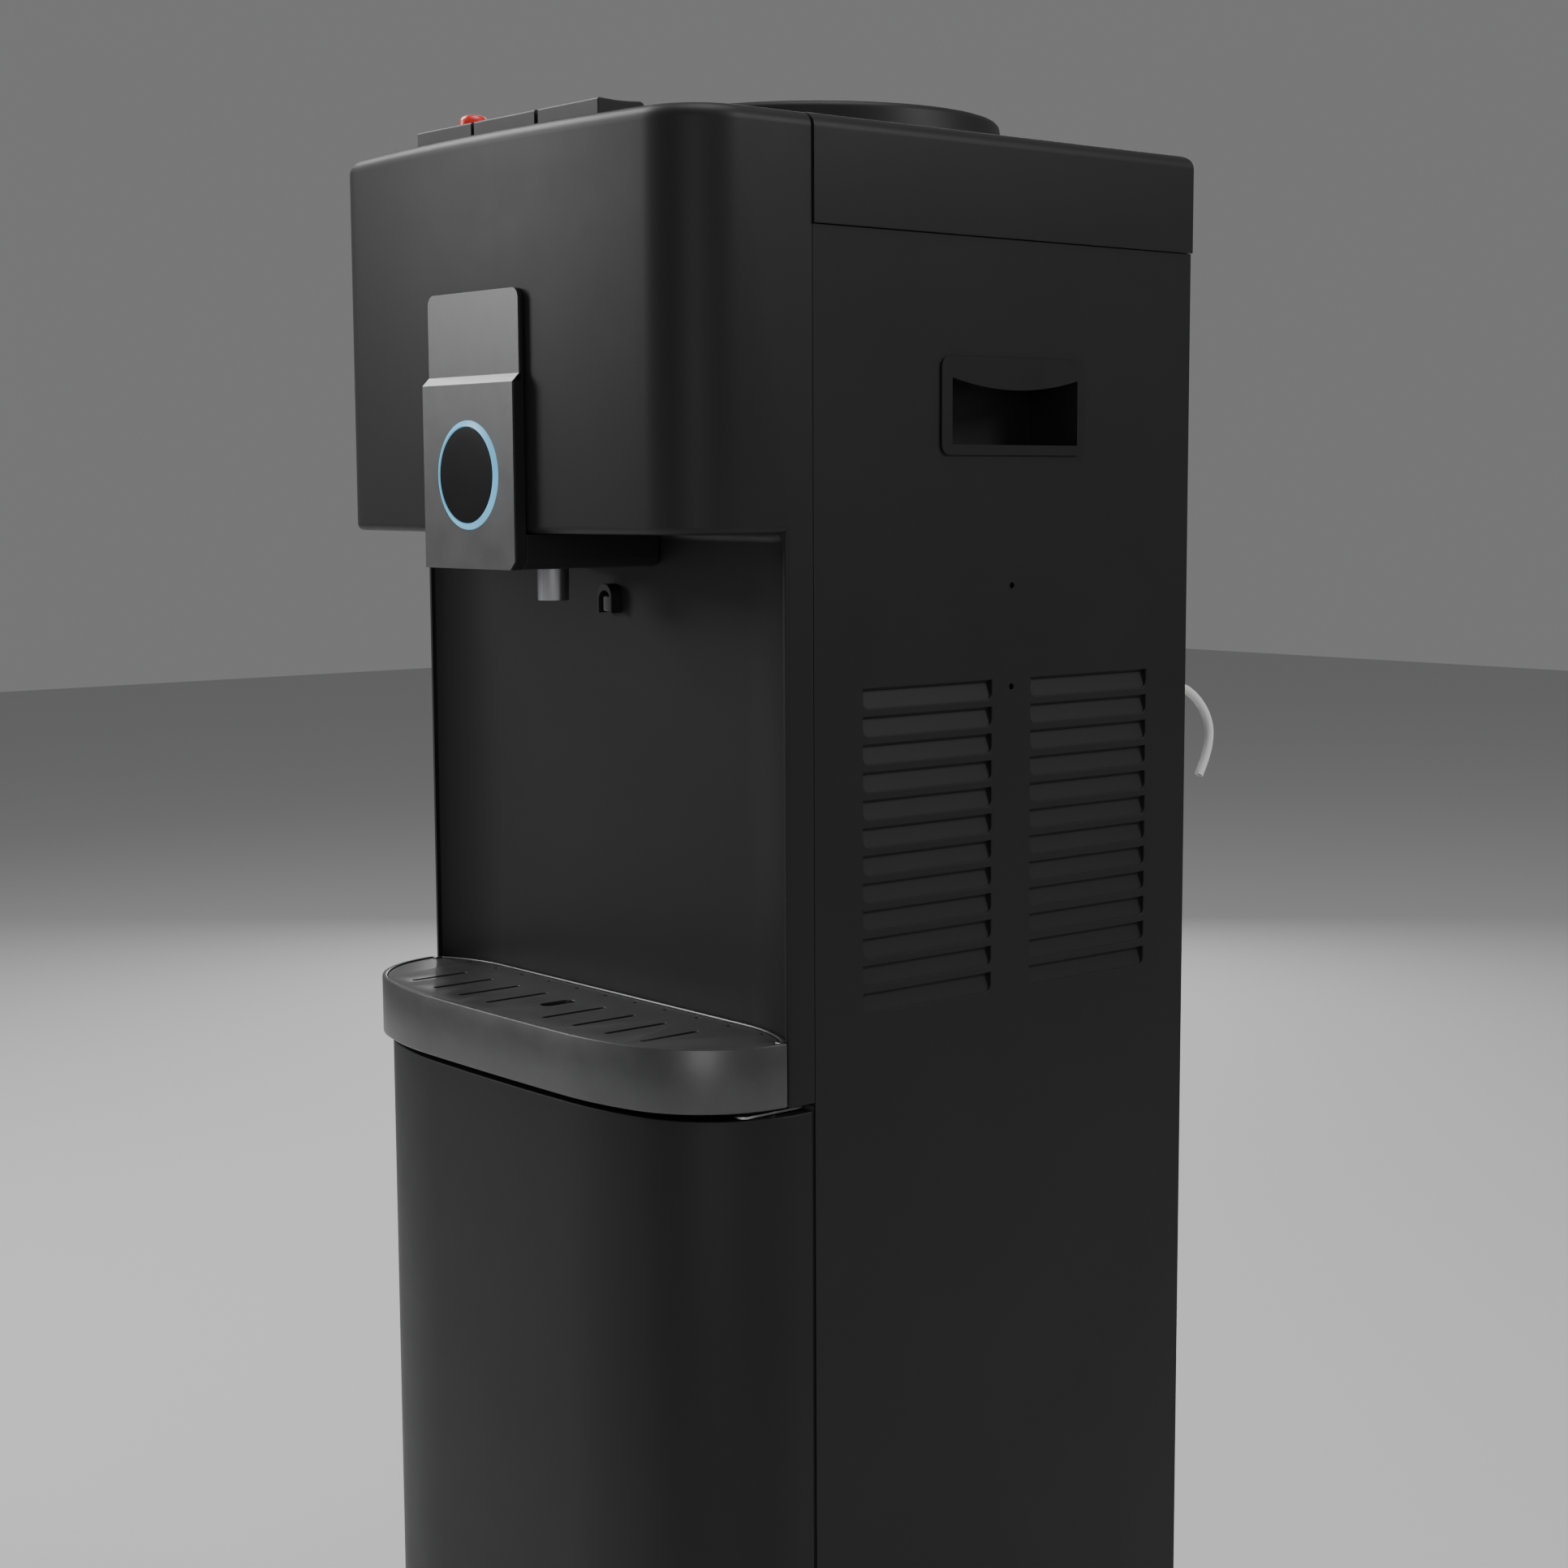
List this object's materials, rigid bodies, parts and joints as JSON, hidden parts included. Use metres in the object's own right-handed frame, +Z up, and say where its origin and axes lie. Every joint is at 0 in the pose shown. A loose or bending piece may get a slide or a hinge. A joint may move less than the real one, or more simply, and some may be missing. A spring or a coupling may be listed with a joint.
{
  "type": "floor-standing water dispenser",
  "caption": "Floor-standing top-loading water dispenser: bowed head with press keys over a cup niche, drip tray, storage cabinet with hinged door, bottle collar on top.",
  "frame": {"origin": "middle of the footprint's bounding box, on the floor", "axes": "+Z up, front faces -Y, +X to the viewer's right when facing the front"},
  "size_m": [0.3126, 0.412, 1],
  "materials": {
    "black_plastic": "fine satin moulded texture",
    "gloss_black": "gloss",
    "grey_plastic": "satin",
    "white_plastic": "satin",
    "silver_plastic": "silver-grey satin paint",
    "spout_metal": "brushed",
    "dark_metal": "satin black paint",
    "steel": "brushed",
    "aluminium": "milled",
    "rubber": "matt",
    "red_plastic": "gloss",
    "ring_blue": "lit translucent",
    "lens": "clear lens",
    "foam": "foamed",
    "silicone": "translucent",
    "hose": "satin white",
    "board": "solder mask"
  },
  "bodies": {
    "cabinet": {"side_panel_left": "black_plastic", "side_panel_right": "black_plastic", "handle_cup_left": "black_plastic", "handle_cup_right": "black_plastic", "top_cover": "black_plastic", "head_shell": "black_plastic", "niche_panel": "black_plastic", "spout_housing": "black_plastic", "night_light_hood": "black_plastic", "base_pan": "black_plastic", "switch_bezel": "black_plastic", "mains_inlet": "black_plastic", "ring_disc": "gloss_black", "fan_frame": "gloss_black", "compartment_liner": "grey_plastic", "outlet_manifold": "white_plastic", "valve_hot": "white_plastic", "valve_room": "white_plastic", "valve_cold": "white_plastic", "tank_lid": "white_plastic", "peltier_module": "white_plastic", "front_plate": "silver_plastic", "spout": "spout_metal", "back_panel": "dark_metal", "machine_deck": "dark_metal", "hinge_upper": "steel", "hinge_lower": "steel", "door_catch": "steel", "cold_tank": "steel", "hot_tank": "steel", "heater_band": "steel", "cold_block": "aluminium", "heat_sink": "aluminium", "foot_front_left": "rubber", "foot_front_right": "rubber", "foot_back_left": "rubber", "foot_back_right": "rubber", "hose_gland": "rubber", "ring_light": "ring_blue", "night_light_lens": "lens", "tank_insulation": "foam", "tube_cold": "silicone", "tube_hot": "silicone", "tube_room": "silicone", "tube_fill": "silicone", "overflow_hose": "hose", "power_board": "board"},
    "door": {"door_shell": "black_plastic", "door_liner": "grey_plastic"},
    "key_hot": {"key_hot": "black_plastic"},
    "key_room": {"key_room": "black_plastic"},
    "key_cold": {"key_cold": "black_plastic"},
    "child_lock": {"child_lock_button": "red_plastic"},
    "drip_tray": {"drip_tray": "silver_plastic"},
    "drip_grille": {"drip_grille": "silver_plastic"},
    "collar": {"bottle_collar": "black_plastic", "feed_probe": "white_plastic"},
    "fan": {"fan_rotor": "gloss_black"},
    "rocker_heating": {"rocker_heating": "red_plastic"},
    "rocker_cooling": {"rocker_cooling": "grey_plastic"}
  },
  "joints": [
    {"name": "door_hinge", "type": "hinge", "parent": "cabinet", "child": "door", "pos_m": [0.1434, -0.12483, 0.032], "axis": [0, 0, 1], "range_deg": [0, 110]},
    {"name": "key_hot_press", "type": "slide", "parent": "cabinet", "child": "key_hot", "axis": [0, 0, -1], "range_m": [0, 0.004], "stiffness_N_per_m": 400, "springref_m": -0.003},
    {"name": "key_room_press", "type": "slide", "parent": "cabinet", "child": "key_room", "axis": [0, 0, -1], "range_m": [0, 0.004], "stiffness_N_per_m": 400, "springref_m": -0.003},
    {"name": "key_cold_press", "type": "slide", "parent": "cabinet", "child": "key_cold", "axis": [0, 0, -1], "range_m": [0, 0.004], "stiffness_N_per_m": 400, "springref_m": -0.003},
    {"name": "child_lock_press", "type": "slide", "parent": "key_hot", "child": "child_lock", "axis": [0, 0, -1], "range_m": [0, 0.0025], "stiffness_N_per_m": 300, "springref_m": -0.002},
    {"name": "drip_tray_slide", "type": "slide", "parent": "cabinet", "child": "drip_tray", "axis": [0, -1, 0], "range_m": [0, 0.09]},
    {"name": "drip_grille_lift", "type": "slide", "parent": "drip_tray", "child": "drip_grille", "axis": [0, 0, 1], "range_m": [0, 0.05]},
    {"name": "collar_lift", "type": "slide", "parent": "cabinet", "child": "collar", "axis": [0, 0, 1], "range_m": [0, 0.11]},
    {"name": "fan_spin", "type": "hinge", "parent": "cabinet", "child": "fan", "pos_m": [0.1285, 0.04167, 0.629], "axis": [1, 0, 0], "continuous": true},
    {"name": "rocker_heating_tilt", "type": "hinge", "parent": "cabinet", "child": "rocker_heating", "pos_m": [-0.113, 0.17118, 0.62], "axis": [1, 0, 0], "range_deg": [-18, 0]},
    {"name": "rocker_cooling_tilt", "type": "hinge", "parent": "cabinet", "child": "rocker_cooling", "pos_m": [-0.087, 0.17118, 0.62], "axis": [1, 0, 0], "range_deg": [-18, 0]}
  ]
}
